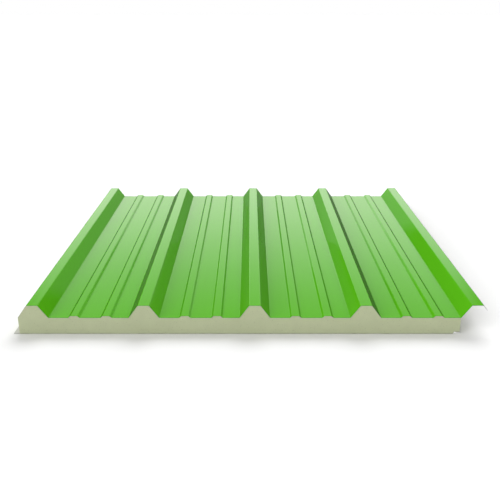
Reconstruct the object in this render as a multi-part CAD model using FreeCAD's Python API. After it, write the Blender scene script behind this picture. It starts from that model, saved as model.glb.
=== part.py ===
import FreeCAD, Part

import math
import os

# An insulated roof panel: a profiled steel outer sheet, a rigid foam core and a
# flat steel liner. X runs across the panel, Y along its length and Z up. The
# origin is at the middle of the underside of the whole panel.

# Sizes of the panel, in millimetres.
panel_length = 1000.0
panel_thickness = 40.0  # from the underside of the liner to the top of a pan
outer_gauge = 0.5
liner_gauge = 0.5
bend_radius = 2.0  # inside radius of every bend in both sheets

# Main ribs. Foam fills all of them but the last, which is hollow and laps over
# the first rib of the next panel.
rib_pitch = 250.0
filled_ribs = 4
rib_height = 30.0
rib_crest = 25.5
rib_flank_run = 21.75
lap_clearance = 0.2  # between the hollow rib and the rib that it covers
lap_lip_drop = 12.4  # height of the short flank that ends the hollow rib

# Small stiffening ribs in the pan that follows each filled rib.
stiffeners = 2
stiffener_offset = 92.0  # from the centre of the filled rib to the first one
stiffener_pitch = 72.6
stiffener_height = 4.5
stiffener_crest = 16.0
stiffener_flank_run = 4.7

# Side joint of the liner: a flat lip at one edge, and at the other edge the
# raised rebate that the next panel's lip lies in.
lip_width = 14.0
lip_end_clearance = 2.0
rebate_height = 5.0
rebate_riser_run = 2.3

# Worked out from the sizes above. Places across the panel are measured here
# from the centre of the first rib.
cover_width = rib_pitch * filled_ribs
rib_half_foot = rib_crest / 2 + rib_flank_run
flank_angle = math.atan2(rib_height, rib_flank_run)
lap_offset = outer_gauge + lap_clearance  # square to the surface of the rib below
lap_half_crest = rib_crest / 2 + lap_offset * math.tan(flank_angle / 2)
lap_height = rib_height + lap_offset
lap_half_foot = lap_half_crest + lap_height / math.tan(flank_angle)
lap_lip_end = cover_width + lap_half_crest + lap_lip_drop / math.tan(flank_angle)
foam_left = outer_gauge * math.sin(flank_angle) - rib_half_foot
foam_right = cover_width - lap_half_foot
lip_end = foam_left - lip_width
rebate_start = cover_width + lip_end - lip_end_clearance
middle = (lip_end + lap_lip_end) / 2


def point(across, height):
    """A point of the section, which is drawn at the front end of the panel."""
    return FreeCAD.Vector(across - middle, -panel_length / 2, height)


def rib_corners(centre, height, crest, flank_run):
    """The four corners of a rib that stands on the pans."""
    half_crest = crest / 2
    half_foot = half_crest + flank_run
    return [
        point(centre - half_foot, panel_thickness),
        point(centre - half_crest, panel_thickness + height),
        point(centre + half_crest, panel_thickness + height),
        point(centre + half_foot, panel_thickness),
    ]


def outer_corners():
    """The corners of the outer sheet's top face, from the first rib to the lap lip."""
    corners = []
    for rib in range(filled_ribs):
        centre = rib * rib_pitch
        corners += rib_corners(centre, rib_height, rib_crest, rib_flank_run)
        for stiffener in range(stiffeners):
            place = centre + stiffener_offset + stiffener * stiffener_pitch
            corners += rib_corners(
                place, stiffener_height, stiffener_crest, stiffener_flank_run
            )
    lap_crest = panel_thickness + lap_height
    corners += [
        point(cover_width - lap_half_foot, panel_thickness),
        point(cover_width - lap_half_crest, lap_crest),
        point(cover_width + lap_half_crest, lap_crest),
        point(lap_lip_end, lap_crest - lap_lip_drop),
    ]
    return corners


def liner_corners():
    """The corners of the liner's underside, from the lip to the end of the rebate."""
    return [
        point(lip_end, 0),
        point(rebate_start, 0),
        point(rebate_start + rebate_riser_run, rebate_height),
        point(foam_right, rebate_height),
    ]


def square_to(start, end):
    """The unit vector square to a run, which points below a run towards +X."""
    along = (end - start).normalize()
    return FreeCAD.Vector(along.z, 0, -along.x)


def parallel(corners, distance):
    """The corners of the line that runs a distance below the given one."""
    sides = [square_to(start, end) for start, end in zip(corners, corners[1:])]
    moved = []
    for corner, before, after in zip(corners, sides[:1] + sides, sides + sides[-1:]):
        moved.append(corner + (before + after) * (distance / (1 + before.dot(after))))
    return moved


def bent_line(corners, valley_radius, crest_radius):
    """Straight runs along the corners, with an arc tangent to both runs at each bend."""
    edges = []
    start = corners[0]
    for before, corner, after in zip(corners, corners[1:], corners[2:]):
        back = (before - corner).normalize()
        ahead = (after - corner).normalize()
        turns_up = ahead.cross(back).y < 0
        radius = valley_radius if turns_up else crest_radius
        half_angle = back.getAngle(ahead) / 2
        reach = radius / math.tan(half_angle)
        inward = (back + ahead).normalize()
        nearest = corner + inward * (radius / math.sin(half_angle) - radius)
        arc_end = corner + ahead * reach
        edges.append(Part.makeLine(start, corner + back * reach))
        edges.append(Part.Arc(corner + back * reach, nearest, arc_end).toShape())
        start = arc_end
    edges.append(Part.makeLine(start, corners[-1]))
    return edges


def top_line(corners, gauge):
    """The top face of a sheet, from the corners of that face."""
    return bent_line(corners, bend_radius, bend_radius + gauge)


def under_line(corners, gauge):
    """The underside of a sheet, from the corners of its top face."""
    return bent_line(parallel(corners, gauge), bend_radius + gauge, bend_radius)


def run_along_panel(upper, lower):
    """The solid between two lines of the section, over the length of the panel."""
    left = Part.makeLine(upper[0].firstVertex().Point, lower[0].firstVertex().Point)
    right = Part.makeLine(upper[-1].lastVertex().Point, lower[-1].lastVertex().Point)
    outline = Part.Wire(Part.__sortEdges__(upper + lower + [left, right]))
    return Part.Face(outline).extrude(FreeCAD.Vector(0, panel_length, 0))


def outer_sheet():
    """The profiled sheet, with its ribs, stiffeners and lap lip."""
    corners = outer_corners()
    return run_along_panel(
        top_line(corners, outer_gauge), under_line(corners, outer_gauge)
    )


def liner_sheet():
    """The flat sheet below, with its lip and its raised rebate."""
    top = parallel(liner_corners(), -liner_gauge)
    return run_along_panel(top_line(top, liner_gauge), under_line(top, liner_gauge))


def foam_core():
    """The foam that fills the space between the sheets, with straight sides."""
    ceiling = under_line(outer_corners(), outer_gauge)
    bed = top_line(parallel(liner_corners(), -liner_gauge), liner_gauge)
    between = run_along_panel(ceiling, bed)
    block = Part.makeBox(
        foam_right - foam_left,
        panel_length,
        panel_thickness + lap_height,
        point(foam_left, 0),
    )
    return between.common(block).Solids[0]


os.makedirs("parts", exist_ok=True)
for name, shape in (
    ("outer_sheet", outer_sheet()),
    ("foam_core", foam_core()),
    ("liner_sheet", liner_sheet()),
):
    shape.exportStep(f"parts/{name}.step")
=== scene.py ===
import math

import bmesh
import bpy
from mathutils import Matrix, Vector, noise


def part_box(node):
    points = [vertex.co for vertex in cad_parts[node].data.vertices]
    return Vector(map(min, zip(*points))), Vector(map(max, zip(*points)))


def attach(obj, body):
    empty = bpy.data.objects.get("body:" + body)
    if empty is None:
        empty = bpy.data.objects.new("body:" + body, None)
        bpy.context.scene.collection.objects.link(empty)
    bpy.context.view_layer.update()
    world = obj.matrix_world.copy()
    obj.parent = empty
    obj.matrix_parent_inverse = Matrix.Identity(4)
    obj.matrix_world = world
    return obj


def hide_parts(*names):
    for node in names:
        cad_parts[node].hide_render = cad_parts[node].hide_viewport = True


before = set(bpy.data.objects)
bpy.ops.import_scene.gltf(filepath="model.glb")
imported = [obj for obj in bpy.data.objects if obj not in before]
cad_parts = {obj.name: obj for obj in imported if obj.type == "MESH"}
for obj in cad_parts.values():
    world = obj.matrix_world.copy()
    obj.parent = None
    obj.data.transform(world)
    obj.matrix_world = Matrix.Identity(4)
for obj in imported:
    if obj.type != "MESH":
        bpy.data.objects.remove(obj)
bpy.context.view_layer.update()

scene = bpy.context.scene

# places taken from the frame, in metres
outerLow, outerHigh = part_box("outer_sheet")
foamLow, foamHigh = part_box("foam_core")
linerLow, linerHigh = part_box("liner_sheet")
frontEnd = outerLow.y
backEnd = outerHigh.y
panelLength = backEnd - frontEnd
touch = 1e-6  # points nearer than this are at the same place
print("frame loaded")


# the camera and the studio

cameraView = {
    "lens": 48.8,
    "sensorWidth": 36,
    "place": (0.002, -1.8777, 0.7155),
    "pitchDown": 20.4,  # degrees
    "reach": 200,
}

studio = {
    "floorDrop": 0.0004,  # below the liner
    "floorSize": 60.0,
    "pitInset": 0.006,  # the floor is open below the panel, so its underside can be seen
    "floorColour": 0.80,
    "floorPaintedShadeInGloss": 0.15,  # painted shade: glossy rays see a dim floor, which keeps the lower flanks deep in colour
    "keyStrength": 2.1,
    "keyFrom": (20.0, 42.0),  # degrees round from straight behind, and above the floor
    "frontStrength": 1.62,
    "frontFrom": (-135.0, 30.0),
    "lampAngle": 52.0,  # degrees across, for soft edges
    "lampDistance": 3,
    "fillGlow": 0.80,
    "fillLean": (-0.27, 0.50, -0.75),  # brighter on the left, at the back and low down
    "roomGlow": 0.01,  # what gloss shows of the room
    "cardGlow": 1.275,  # and of the warm white card beyond the panel
    "cardColour": (1.0, 0.935, 0.935),
    "cardAcross": ((-0.34, -0.28), (0.28, 0.34)),  # where its edges fade, as parts of a direction
    "cardUp": ((0.08, 0.26), (0.25, 0.54)),
    "wingGlow": 0.29,  # the dimmer wings on both sides of the card
    "wingLean": -0.60,
    "wingAcross": ((-0.372, -0.358), (0.45, 0.465)),
    "wingUp": ((-0.10, 0.08), (0.25, 0.40)),
    "ringAside": (0.60, 0.72),  # beyond the wings a white band runs round the room
    "ringBehind": (0.10, -0.30),
    "ringUp": ((0.02, 0.22), (0.30, 0.60)),
    "ringGlow": 0.90,
}


def makeCamera():
    data = bpy.data.cameras.new("camera")
    data.lens = cameraView["lens"]
    data.sensor_width = cameraView["sensorWidth"]
    data.clip_end = cameraView["reach"]
    camera = bpy.data.objects.new("camera", data)
    scene.collection.objects.link(camera)
    camera.location = cameraView["place"]
    camera.rotation_euler = (math.radians(90 - cameraView["pitchDown"]), 0, 0)
    scene.camera = camera


def addNode(tree, kind, x, y, **settings):
    node = tree.nodes.new(kind)
    node.location = (x, y)
    for name, value in settings.items():
        setattr(node, name, value)
    return node


def fadeBetween(tree, x, y, value, start, end):
    fade = addNode(tree, "ShaderNodeMapRange", x, y, interpolation_type="SMOOTHSTEP")
    fade.inputs["From Min"].default_value = start
    fade.inputs["From Max"].default_value = end
    tree.links.new(value, fade.inputs["Value"])
    return fade.outputs["Result"]


def mathOn(tree, x, y, operation, *values):
    node = addNode(tree, "ShaderNodeMath", x, y, operation=operation)
    for socket, value in zip(node.inputs, values):
        if isinstance(value, (int, float)):
            socket.default_value = value
        else:
            tree.links.new(value, socket)
    return node.outputs[0]


def alongDirection(tree, x, y, direction, axis):
    share = addNode(tree, "ShaderNodeVectorMath", x, y, operation="DOT_PRODUCT")
    share.inputs[1].default_value = axis
    tree.links.new(direction, share.inputs[0])
    return share.outputs["Value"]


# 1 between the two edges, each of which fades over its own pair of values
def bandOn(tree, x, y, value, near, far):
    start = fadeBetween(tree, x, y, value, *near)
    end = fadeBetween(tree, x, y - 250, value, *reversed(far))
    return mathOn(tree, x + 200, y, "MULTIPLY", start, end)


def panelOn(tree, x, y, parts, across, up):
    wide = bandOn(tree, x, y, parts.outputs["X"], *across)
    tall = bandOn(tree, x + 50, y, parts.outputs["Z"], *up)
    return mathOn(tree, x + 450, y, "MULTIPLY", wide, tall)


def ringOn(tree, x, y, parts):
    sideways = mathOn(tree, x - 200, y, "ABSOLUTE", parts.outputs["X"])
    aside = fadeBetween(tree, x, y, sideways, *studio["ringAside"])
    behind = fadeBetween(tree, x, y - 250, parts.outputs["Y"], *studio["ringBehind"])
    around = mathOn(tree, x + 200, y, "MAXIMUM", aside, behind)
    tall = bandOn(tree, x + 50, y, parts.outputs["Z"], *studio["ringUp"])
    ring = mathOn(tree, x + 450, y, "MULTIPLY", around, tall)
    return mathOn(tree, x + 600, y, "MULTIPLY", ring, studio["ringGlow"])


# clear pieces would show the same white as the camera sees
def seenPlainly(tree, x, y, rays):
    direct = rays.outputs["Is Camera Ray"]
    through = rays.outputs["Is Transmission Ray"]
    return mathOn(tree, x, y, "MAXIMUM", direct, through)


def makeWorld():
    world = bpy.data.worlds.new("studioGlow")
    scene.world = world
    world.use_nodes = True
    tree = world.node_tree
    tree.nodes.clear()
    direction = addNode(tree, "ShaderNodeTexCoord", -1500, 0)
    parts = addNode(tree, "ShaderNodeSeparateXYZ", -1300, 0)
    tree.links.new(direction.outputs["Generated"], parts.inputs[0])
    ahead = mathOn(tree, -1000, -400, "GREATER_THAN", parts.outputs["Y"], 0.0)
    card = panelOn(tree, -1000, 300, parts, studio["cardAcross"], studio["cardUp"])
    wing = panelOn(tree, -1000, -600, parts, studio["wingAcross"], studio["wingUp"])
    tone = mathOn(tree, -600, -800, "MULTIPLY_ADD", parts.outputs["X"], studio["wingLean"], 1.0)
    wing = mathOn(tree, -450, -600, "MULTIPLY", wing, tone)
    wing = mathOn(tree, -300, -600, "MULTIPLY", wing, studio["wingGlow"])
    both = mathOn(tree, -450, -100, "MULTIPLY_ADD", card, studio["cardGlow"], wing)
    ring = ringOn(tree, -1000, -1000, parts)
    rest = mathOn(tree, -350, -100, "ADD", ring, studio["roomGlow"])
    shown = mathOn(tree, -300, -100, "MULTIPLY_ADD", both, ahead, rest)
    fill = addNode(tree, "ShaderNodeBackground", -100, 100)
    gloss = addNode(tree, "ShaderNodeBackground", -100, -50)
    plainWhite = addNode(tree, "ShaderNodeBackground", -100, -200)
    for node in (fill, plainWhite):
        node.inputs["Color"].default_value = (1, 1, 1, 1)
    gloss.inputs["Color"].default_value = (*studio["cardColour"], 1)
    lean = alongDirection(tree, -500, 350, direction.outputs["Generated"], studio["fillLean"])
    spread = mathOn(tree, -300, 250, "MULTIPLY_ADD", lean, studio["fillGlow"], studio["fillGlow"])
    tree.links.new(spread, fill.inputs["Strength"])
    rays = addNode(tree, "ShaderNodeLightPath", -100, 500)
    forGloss = addNode(tree, "ShaderNodeMixShader", 150, 0)
    forCamera = addNode(tree, "ShaderNodeMixShader", 350, 0)
    output = addNode(tree, "ShaderNodeOutputWorld", 550, 0)
    link = tree.links.new
    link(shown, gloss.inputs["Strength"])
    link(rays.outputs["Is Glossy Ray"], forGloss.inputs["Fac"])
    link(fill.outputs[0], forGloss.inputs[1])
    link(gloss.outputs[0], forGloss.inputs[2])
    link(seenPlainly(tree, 150, 300, rays), forCamera.inputs["Fac"])
    link(forGloss.outputs[0], forCamera.inputs[1])
    link(plainWhite.outputs[0], forCamera.inputs[2])
    link(forCamera.outputs[0], output.inputs["Surface"])


def makeLamp(name, strength, turn, height):
    towards = Vector((math.sin(turn), math.cos(turn), math.tan(height)))
    data = bpy.data.lights.new(name, "SUN")
    data.energy = strength
    data.angle = math.radians(studio["lampAngle"])
    lamp = bpy.data.objects.new(name, data)
    scene.collection.objects.link(lamp)
    lamp.rotation_mode = "QUATERNION"
    lamp.rotation_quaternion = towards.to_track_quat("Z", "Y")
    lamp.location = towards.normalized() * studio["lampDistance"]
    lamp.visible_glossy = False


def makeLamps():
    makeLamp("keyLight", studio["keyStrength"], *map(math.radians, studio["keyFrom"]))
    makeLamp("frontLight", studio["frontStrength"], *map(math.radians, studio["frontFrom"]))


def floorMaterial():
    material = bpy.data.materials.new("studioFloor")
    material.use_nodes = True
    tree = material.node_tree
    tree.nodes.clear()
    rays = addNode(tree, "ShaderNodeLightPath", -600, 300)
    # the floor is painted dim for glossy rays only, a painted shade in what the sheets reflect
    floorShadeForGloss = addNode(tree, "ShaderNodeMix", -500, 150, data_type="RGBA")
    floorShadeForGloss.inputs["A"].default_value = (studio["floorColour"],) * 3 + (1,)
    floorShadeForGloss.inputs["B"].default_value = (studio["floorPaintedShadeInGloss"],) * 3 + (1,)
    colour = addNode(tree, "ShaderNodeMix", -320, 150, data_type="RGBA")
    colour.inputs["B"].default_value = (1, 1, 1, 1)
    matt = addNode(tree, "ShaderNodeBsdfDiffuse", -120, 150)
    clear = addNode(tree, "ShaderNodeBsdfTransparent", -120, 0)
    side = addNode(tree, "ShaderNodeNewGeometry", -350, -150)
    pick = addNode(tree, "ShaderNodeMixShader", 100, 100)
    output = addNode(tree, "ShaderNodeOutputMaterial", 300, 100)
    link = tree.links.new
    link(rays.outputs["Is Glossy Ray"], floorShadeForGloss.inputs["Factor"])
    link(floorShadeForGloss.outputs["Result"], colour.inputs["A"])
    link(seenPlainly(tree, -500, 450, rays), colour.inputs["Factor"])
    link(colour.outputs["Result"], matt.inputs["Color"])
    link(side.outputs["Backfacing"], pick.inputs["Fac"])
    link(matt.outputs[0], pick.inputs[1])
    link(clear.outputs[0], pick.inputs[2])
    link(pick.outputs[0], output.inputs["Surface"])
    return material


def vertsOf(made):
    return [item for item in made if isinstance(item, bmesh.types.BMVert)]


def makeFloor():
    mesh = bmesh.new()
    bmesh.ops.create_grid(mesh, x_segments=1, y_segments=1, size=0.5)
    width = foamHigh.x - linerLow.x - 2 * studio["pitInset"]
    length = panelLength - 2 * studio["pitInset"]
    bmesh.ops.scale(mesh, vec=(width, length, 1), verts=mesh.verts)
    centre = Vector(((foamHigh.x + linerLow.x) / 2, 0, -studio["floorDrop"]))
    bmesh.ops.translate(mesh, vec=centre, verts=mesh.verts)
    pit = mesh.faces[:]
    rim = bmesh.ops.extrude_edge_only(mesh, edges=mesh.edges[:])["geom"]
    for vert in vertsOf(rim):
        vert.co.x = math.copysign(studio["floorSize"] / 2, vert.co.x)
        vert.co.y = math.copysign(studio["floorSize"] / 2, vert.co.y)
    bmesh.ops.delete(mesh, geom=pit, context="FACES_ONLY")
    bmesh.ops.recalc_face_normals(mesh, faces=mesh.faces)
    if mesh.faces[:][0].normal.z < 0:
        bmesh.ops.reverse_faces(mesh, faces=mesh.faces)
    data = bpy.data.meshes.new("studioFloor")
    mesh.to_mesh(data)
    mesh.free()
    data.materials.append(floorMaterial())
    floor = bpy.data.objects.new("studioFloor", data)
    scene.collection.objects.link(floor)


makeCamera()
makeWorld()
makeLamps()
makeFloor()
scene.view_settings.view_transform = "Standard"
print("studio made")


# surface effects that several finishes share

def effectGroup(name, inputs, outputs):
    group = bpy.data.node_groups.new(name, "ShaderNodeTree")
    for kind, label, value in inputs:
        socket = group.interface.new_socket(label, in_out="INPUT", socket_type=kind)
        socket.default_value = value
    for kind, label in outputs:
        group.interface.new_socket(label, in_out="OUTPUT", socket_type=kind)
    return group, group.nodes.new("NodeGroupInput"), group.nodes.new("NodeGroupOutput")


def noiseOn(tree, x, y, scale, detail, stretch=(1, 1, 1)):
    place = addNode(tree, "ShaderNodeTexCoord", x - 400, y)
    turn = addNode(tree, "ShaderNodeMapping", x - 200, y)
    turn.inputs["Scale"].default_value = stretch
    pattern = addNode(tree, "ShaderNodeTexNoise", x, y)
    pattern.inputs["Scale"].default_value = scale
    pattern.inputs["Detail"].default_value = detail
    tree.links.new(place.outputs["Object"], turn.inputs["Vector"])
    tree.links.new(turn.outputs["Vector"], pattern.inputs["Vector"])
    return pattern.outputs["Fac"]


def shadeOn(tree, x, y, colour, factor):
    scaled = addNode(tree, "ShaderNodeVectorMath", x, y, operation="SCALE")
    tree.links.new(colour, scaled.inputs[0])
    tree.links.new(factor, scaled.inputs["Scale"])
    return scaled.outputs[0]


paintGrain = {
    "peelScale": 420.0,  # orange peel, a couple of millimetres across
    "peelDetail": 1.0,
    "peelDepth": 0.0002,
    "rollScale": 160.0,  # faint lines left by the rolls, along the length
    "rollDetail": 2.0,
    "rollStretch": (1, 0.012, 1),
    "rollRelief": 0.4,  # beside the orange peel
    "cloudScale": 4.0,
    "cloudDetail": 3.0,
    "roughnessSwing": 0.12,
}


def makePaintGrain():
    tree, given, made = effectGroup(
        "paintGrain",
        [
            ("NodeSocketColor", "Colour", (0.5, 0.5, 0.5, 1)),
            ("NodeSocketFloat", "Roughness", 0.3),
            ("NodeSocketFloat", "Variation", 0.05),
        ],
        [("NodeSocketColor", "Colour"), ("NodeSocketFloat", "Roughness"), ("NodeSocketFloat", "Height")],
    )
    look = paintGrain
    peel = noiseOn(tree, -200, 300, look["peelScale"], look["peelDetail"])
    roll = noiseOn(tree, -200, 0, look["rollScale"], look["rollDetail"], look["rollStretch"])
    cloud = noiseOn(tree, -200, -300, look["cloudScale"], look["cloudDetail"])
    both = mathOn(tree, 0, -150, "ADD", roll, cloud)
    swing = mathOn(tree, 150, -150, "SUBTRACT", both, 1.0)
    amount = mathOn(tree, 300, -150, "MULTIPLY", swing, given.outputs["Variation"])
    factor = mathOn(tree, 450, -150, "ADD", amount, 1.0)
    colour = shadeOn(tree, 600, -150, given.outputs["Colour"], factor)
    plain = given.outputs["Roughness"]
    rough = mathOn(tree, 450, 50, "MULTIPLY_ADD", swing, look["roughnessSwing"], plain)
    height = mathOn(tree, 450, 300, "MULTIPLY_ADD", roll, look["rollRelief"], peel)
    tree.links.new(colour, made.inputs["Colour"])
    tree.links.new(rough, made.inputs["Roughness"])
    tree.links.new(height, made.inputs["Height"])
    return tree


foamGrain = {
    "cellScale": 1100.0,  # cells just under a millimetre
    "cellShade": -0.08,
    "poreScale": 170.0,
    "poreSize": 0.16,
    "poreShade": -0.25,
    "poreRelief": -1.6,  # beside the cells
    "mottleScale": 45.0,
    "mottleDetail": 4.0,
    "depth": 0.0006,
}


def makeFoamGrain():
    tree, given, made = effectGroup(
        "foamGrain",
        [
            ("NodeSocketColor", "Colour", (0.6, 0.6, 0.4, 1)),
            ("NodeSocketFloat", "Variation", 0.1),
            ("NodeSocketFloat", "Pores", 1.0),
        ],
        [("NodeSocketColor", "Colour"), ("NodeSocketFloat", "Height")],
    )
    look = foamGrain
    place = addNode(tree, "ShaderNodeTexCoord", -900, 100)
    cells = addNode(tree, "ShaderNodeTexVoronoi", -600, 250)
    cells.inputs["Scale"].default_value = look["cellScale"]
    pores = addNode(tree, "ShaderNodeTexVoronoi", -600, -50)
    pores.inputs["Scale"].default_value = look["poreScale"]
    tree.links.new(place.outputs["Object"], cells.inputs["Vector"])
    tree.links.new(place.outputs["Object"], pores.inputs["Vector"])
    hollow = addNode(tree, "ShaderNodeMapRange", -350, -50, interpolation_type="SMOOTHSTEP")
    hollow.inputs["From Min"].default_value = look["poreSize"]
    hollow.inputs["From Max"].default_value = look["poreSize"] / 2
    tree.links.new(pores.outputs["Distance"], hollow.inputs["Value"])
    pit = mathOn(tree, -150, -50, "MULTIPLY", hollow.outputs["Result"], given.outputs["Pores"])
    mottle = noiseOn(tree, -350, -350, look["mottleScale"], look["mottleDetail"])
    swing = mathOn(tree, -150, -350, "SUBTRACT", mottle, 0.5)
    tone = mathOn(tree, 0, -350, "MULTIPLY_ADD", swing, given.outputs["Variation"], 1.0)
    dark = mathOn(tree, 0, -150, "MULTIPLY_ADD", pit, look["poreShade"], tone)
    reach = cells.outputs["Distance"]
    fine = mathOn(tree, 0, 250, "MULTIPLY_ADD", reach, look["cellShade"], dark)
    colour = shadeOn(tree, 250, -150, given.outputs["Colour"], fine)
    height = mathOn(tree, 250, 150, "MULTIPLY_ADD", pit, look["poreRelief"], reach)
    tree.links.new(colour, made.inputs["Colour"])
    tree.links.new(height, made.inputs["Height"])
    return tree


# finishes

def newFinish(name, **settings):
    material = bpy.data.materials.new(name)
    material.use_nodes = True
    tree = material.node_tree
    shader = tree.nodes["Principled BSDF"]
    for label, value in settings.items():
        shader.inputs[label.replace("_", " ")].default_value = value
    return material, tree, shader


def placeGroup(tree, group, **values):
    node = addNode(tree, "ShaderNodeGroup", -600, 200, node_tree=group)
    for label, value in values.items():
        node.inputs[label].default_value = value
    return node


def bumpFrom(tree, shader, height, strength, distance):
    bump = addNode(tree, "ShaderNodeBump", -300, -150)
    bump.inputs["Strength"].default_value = strength
    bump.inputs["Distance"].default_value = distance
    tree.links.new(height, bump.inputs["Height"])
    tree.links.new(bump.outputs["Normal"], shader.inputs["Normal"])


def paintFinish(name, colour, roughness, variation, peel, glossPaintedShade=None):
    material, tree, shader = newFinish(name)
    grain = placeGroup(
        tree, paintGrainGroup, Colour=(*colour, 1), Roughness=roughness, Variation=variation
    )
    shade = grain.outputs["Colour"]
    rough = grain.outputs["Roughness"]
    if glossPaintedShade:
        # painted shade: glossy rays see the paint's colour darkened by tone and its roughness raised by
        # blur, so reflections of it are darker than its lit colour
        rays = addNode(tree, "ShaderNodeLightPath", -600, 600)
        inGloss = rays.outputs["Is Glossy Ray"]
        tone = mathOn(tree, -350, 500, "MULTIPLY_ADD", inGloss, glossPaintedShade["tone"] - 1, 1.0)
        shade = shadeOn(tree, -200, 350, shade, tone)
        rough = mathOn(tree, -350, 700, "MULTIPLY_ADD", inGloss, glossPaintedShade["blur"], rough)
    tree.links.new(shade, shader.inputs["Base Color"])
    tree.links.new(rough, shader.inputs["Roughness"])
    bumpFrom(tree, shader, grain.outputs["Height"], peel, paintGrain["peelDepth"])
    return material


def foamFinish(name, colour, variation, pores, relief):
    material, tree, shader = newFinish(name, Roughness=0.85, Specular_IOR_Level=0.25)
    grain = placeGroup(
        tree, foamGrainGroup, Colour=(*colour, 1), Variation=variation, Pores=pores
    )
    tree.links.new(grain.outputs["Colour"], shader.inputs["Base Color"])
    bumpFrom(tree, shader, grain.outputs["Height"], relief, foamGrain["depth"])
    return material


def steelFinish(name, colour, roughness, variation):
    material, tree, shader = newFinish(name, Metallic=1.0)
    grain = placeGroup(
        tree, paintGrainGroup, Colour=(*colour, 1), Roughness=roughness, Variation=variation
    )
    tree.links.new(grain.outputs["Colour"], shader.inputs["Base Color"])
    tree.links.new(grain.outputs["Roughness"], shader.inputs["Roughness"])
    return material


paintGrainGroup = makePaintGrain()
foamGrainGroup = makeFoamGrain()
greenPaint = paintFinish(
    "greenPaint",
    colour=(0.103, 0.472, 0.0085),
    roughness=0.045,
    variation=0.05,
    peel=0.10,
    glossPaintedShade={"tone": 0.0, "blur": 0.4},  # painted shade in reflections: glossy rays see the green darkened and blurred, so a rib shows the pan beside it dark and soft
)
backCoat = paintFinish(
    "backCoat", colour=(0.64, 0.65, 0.60), roughness=0.45, variation=0.08, peel=0.2
)
linerPaint = paintFinish(
    "linerPaint", colour=(0.72, 0.73, 0.66), roughness=0.32, variation=0.04, peel=0.12
)
cutSteel = steelFinish(
    "cutSteel", colour=(0.55, 0.56, 0.57), roughness=0.38, variation=0.3
)
cutFoam = foamFinish(
    "cutFoam", colour=(0.575, 0.625, 0.40), variation=0.10, pores=1.0, relief=0.5
)
foamSkin = foamFinish(
    "foamSkin", colour=(0.56, 0.60, 0.365), variation=0.22, pores=0.25, relief=0.35
)
print("finishes made")


# the folded section that the two sheets and the foam share

section = {
    "ribPitch": 0.250,
    "filledRibs": 4,
    "ribHeight": 0.030,
    "ribCrest": 0.0255,
    "ribRun": 0.02175,
    "stiffeners": 2,
    "stiffenerOffset": 0.092,
    "stiffenerPitch": 0.0726,
    "stiffenerHeight": 0.0045,
    "stiffenerCrest": 0.016,
    "stiffenerRun": 0.0047,
    "gauge": 0.0005,
    "lapClearance": 0.0002,
    "lapLipDrop": 0.0124,
    "bendRadius": 0.002,  # on the inside of a bend
    "bendSegments": 5,
}
gauge = section["gauge"]
lapOffset = gauge + section["lapClearance"]
panLevel = outerHigh.z - section["ribHeight"] - lapOffset
firstRib = outerLow.x + section["ribCrest"] / 2 + section["ribRun"]
lapRib = firstRib + section["ribPitch"] * section["filledRibs"]
flankAngle = math.atan2(section["ribHeight"], section["ribRun"])


def ribCorners(centre, height, crest, run):
    half = crest / 2
    return [
        Vector((centre - half - run, panLevel)),
        Vector((centre - half, panLevel + height)),
        Vector((centre + half, panLevel + height)),
        Vector((centre + half + run, panLevel)),
    ]


def filledCorners():
    corners = []
    for rib in range(section["filledRibs"]):
        centre = firstRib + rib * section["ribPitch"]
        corners += ribCorners(centre, section["ribHeight"], section["ribCrest"], section["ribRun"])
        for stiffener in range(section["stiffeners"]):
            place = centre + section["stiffenerOffset"] + stiffener * section["stiffenerPitch"]
            corners += ribCorners(
                place, section["stiffenerHeight"], section["stiffenerCrest"], section["stiffenerRun"]
            )
    return corners


def lapCorners():
    half = section["ribCrest"] / 2 + lapOffset * math.tan(flankAngle / 2)
    height = section["ribHeight"] + lapOffset
    drop = section["lapLipDrop"]
    crest = panLevel + height
    return [
        Vector((lapRib - half - height / math.tan(flankAngle), panLevel)),
        Vector((lapRib - half, crest)),
        Vector((lapRib + half, crest)),
        Vector((lapRib + half + drop / math.tan(flankAngle), crest - drop)),
    ]


def lowered(corners, distance):
    sides = []
    for near, far in zip(corners, corners[1:]):
        along = (far - near).normalized()
        sides.append(Vector((along.y, -along.x)))
    moved = []
    for corner, before, after in zip(corners, sides[:1] + sides, sides + sides[-1:]):
        moved.append(corner + (before + after) * (distance / (1 + before.dot(after))))
    return moved


def drawFolds(mesh, corners, crestRadius, valleyRadius):
    verts = [mesh.verts.new((corner.x, frontEnd, corner.y)) for corner in corners]
    for near, far in zip(verts, verts[1:]):
        mesh.edges.new((near, far))
    for before, corner, after, vert in zip(corners, corners[1:], corners[2:], verts[1:]):
        turn = (after - corner).angle_signed(corner - before)
        radius = valleyRadius if turn > 0 else crestRadius
        bmesh.ops.bevel(
            mesh, geom=[vert], offset=radius * math.tan(abs(turn) / 2), offset_type="OFFSET",
            affect="VERTICES", segments=section["bendSegments"], profile=0.5, material=-1,
        )


def alongPanel(mesh, shape, cuts):
    made = bmesh.ops.extrude_edge_only(mesh, edges=shape)["geom"]
    bmesh.ops.translate(mesh, vec=(0, panelLength, 0), verts=vertsOf(made))
    long = [edge for edge in mesh.edges if abs(edge.verts[0].co.y - edge.verts[1].co.y) > gauge]
    bmesh.ops.subdivide_edges(mesh, edges=long, cuts=cuts, use_grid_fill=True)


# a face that looks along the panel, as its ends do
def isCutEnd(face):
    return abs(face.normal.y) > 0.9


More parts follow.
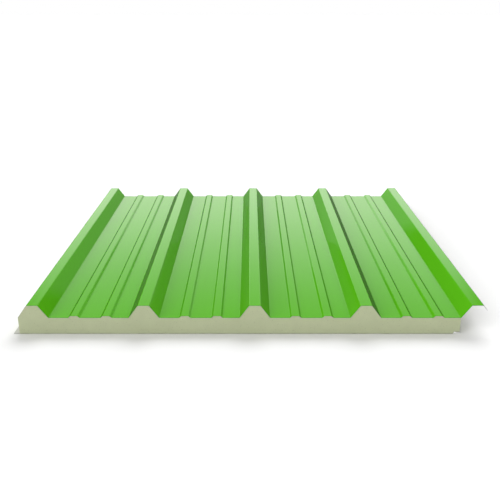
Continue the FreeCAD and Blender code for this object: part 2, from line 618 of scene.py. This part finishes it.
def finishPiece(mesh, name, materials, sharpAngle):
    for vert in mesh.verts:
        vert.co.y = min(max(vert.co.y, frontEnd), backEnd)
    for edge in mesh.edges:
        edge.smooth = edge.calc_face_angle(math.pi) < math.radians(sharpAngle)
    for face in mesh.faces:
        face.smooth = True
    data = bpy.data.meshes.new(name)
    mesh.to_mesh(data)
    mesh.free()
    for material in materials:
        data.materials.append(material)
    piece = bpy.data.objects.new(name, data)
    scene.collection.objects.link(piece)
    weights = piece.modifiers.new("flatFacesLead", "WEIGHTED_NORMAL")
    weights.keep_sharp = True
    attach(piece, "root")
    return piece


# outer sheet

outerSheet = {
    "lengthCuts": 59,
    "wave": 0.00012,  # how far the pans wander from flat
    "waveAcross": 9.0,
    "waveAlong": 5.0,
    "stillEnds": 0.05,  # over which the wave dies away
    "sharpAngle": 30,
}


def wavePans(mesh):
    for vert in mesh.verts:
        if abs(vert.co.z - panLevel) > gauge / 5:
            continue
        fade = min(1, (panelLength / 2 - abs(vert.co.y)) / outerSheet["stillEnds"])
        place = Vector((vert.co.x * outerSheet["waveAcross"], vert.co.y * outerSheet["waveAlong"], 0))
        vert.co.z += outerSheet["wave"] * fade * noise.noise(place)


def makeOuterSheet():
    mesh = bmesh.new()
    drawFolds(mesh, filledCorners() + lapCorners(), section["bendRadius"] + gauge, section["bendRadius"])
    alongPanel(mesh, mesh.edges[:], outerSheet["lengthCuts"])
    wavePans(mesh)
    bmesh.ops.recalc_face_normals(mesh, faces=mesh.faces)
    bmesh.ops.solidify(mesh, geom=mesh.faces[:], thickness=gauge)
    for face in mesh.faces:
        middle = face.calc_center_median()
        atEdge = not outerLow.x + gauge < middle.x < outerHigh.x - gauge / 2
        if isCutEnd(face) or atEdge:
            face.material_index = 2
        elif face.normal.z < 0:
            face.material_index = 1
    materials = [greenPaint, backCoat, cutSteel]
    piece = finishPiece(mesh, "profiledSheet", materials, outerSheet["sharpAngle"])
    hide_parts("outer_sheet")


makeOuterSheet()
print("outer sheet made")


# liner sheet, drawn by its underside

linerSheet = {
    "lengthCuts": 39,
    "lipClearance": 0.002,  # left past the next panel's lip
    "rebateHeight": 0.005,
    "rebateRun": 0.0023,
    "sharpAngle": 30,
}
foamLeft = foamLow.x
foamRight = foamHigh.x
rebateStart = lapRib - firstRib + linerLow.x - linerSheet["lipClearance"]


def linerCorners():
    return [
        Vector((linerLow.x, 0)),
        Vector((rebateStart, 0)),
        Vector((rebateStart + linerSheet["rebateRun"], linerSheet["rebateHeight"])),
        Vector((foamRight, linerSheet["rebateHeight"])),
    ]


def makeLinerSheet():
    mesh = bmesh.new()
    drawFolds(mesh, linerCorners(), section["bendRadius"], section["bendRadius"] + gauge)
    alongPanel(mesh, mesh.edges[:], linerSheet["lengthCuts"])
    bmesh.ops.recalc_face_normals(mesh, faces=mesh.faces)
    if mesh.faces[:][0].normal.z > 0:
        bmesh.ops.reverse_faces(mesh, faces=mesh.faces)
    bmesh.ops.solidify(mesh, geom=mesh.faces[:], thickness=gauge)
    for face in mesh.faces:
        middle = face.calc_center_median()
        atEdge = not linerLow.x + gauge / 2 < middle.x < linerHigh.x - gauge / 2
        if isCutEnd(face) or atEdge:
            face.material_index = 2
        elif face.normal.z > 0:
            face.material_index = 1
    materials = [linerPaint, backCoat, cutSteel]
    piece = finishPiece(mesh, "flatLiner", materials, linerSheet["sharpAngle"])
    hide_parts("liner_sheet")


makeLinerSheet()
print("liner made")


# foam core

foamCore = {
    "sharpAngle": 30,
}


def makeFoamCore():
    mesh = bmesh.new()
    ceiling = lowered(filledCorners() + lapCorners()[:1], gauge)
    ceiling[0] = Vector((foamLeft, ceiling[0].y))
    ceiling[-1].x = foamRight
    drawFolds(mesh, ceiling, section["bendRadius"], section["bendRadius"] + gauge)
    bed = lowered(linerCorners(), -gauge)
    bed[0].x = foamLeft
    bed[-1].x = foamRight
    drawFolds(mesh, bed, section["bendRadius"], section["bendRadius"] + gauge)
    for x in (foamLeft, foamRight):
        ends = [vert for vert in mesh.verts if abs(vert.co.x - x) < touch]
        mesh.edges.new(ends)
    cap = bmesh.ops.contextual_create(mesh, geom=mesh.edges[:])["faces"]
    made = bmesh.ops.extrude_face_region(mesh, geom=cap, use_keep_orig=True)["geom"]
    bmesh.ops.translate(mesh, vec=(0, panelLength, 0), verts=vertsOf(made))
    bmesh.ops.recalc_face_normals(mesh, faces=mesh.faces)
    for face in mesh.faces:
        face.material_index = 0 if isCutEnd(face) else 1
    piece = finishPiece(mesh, "foamBlock", [cutFoam, foamSkin], foamCore["sharpAngle"])
    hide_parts("foam_core")


makeFoamCore()
print("foam made")
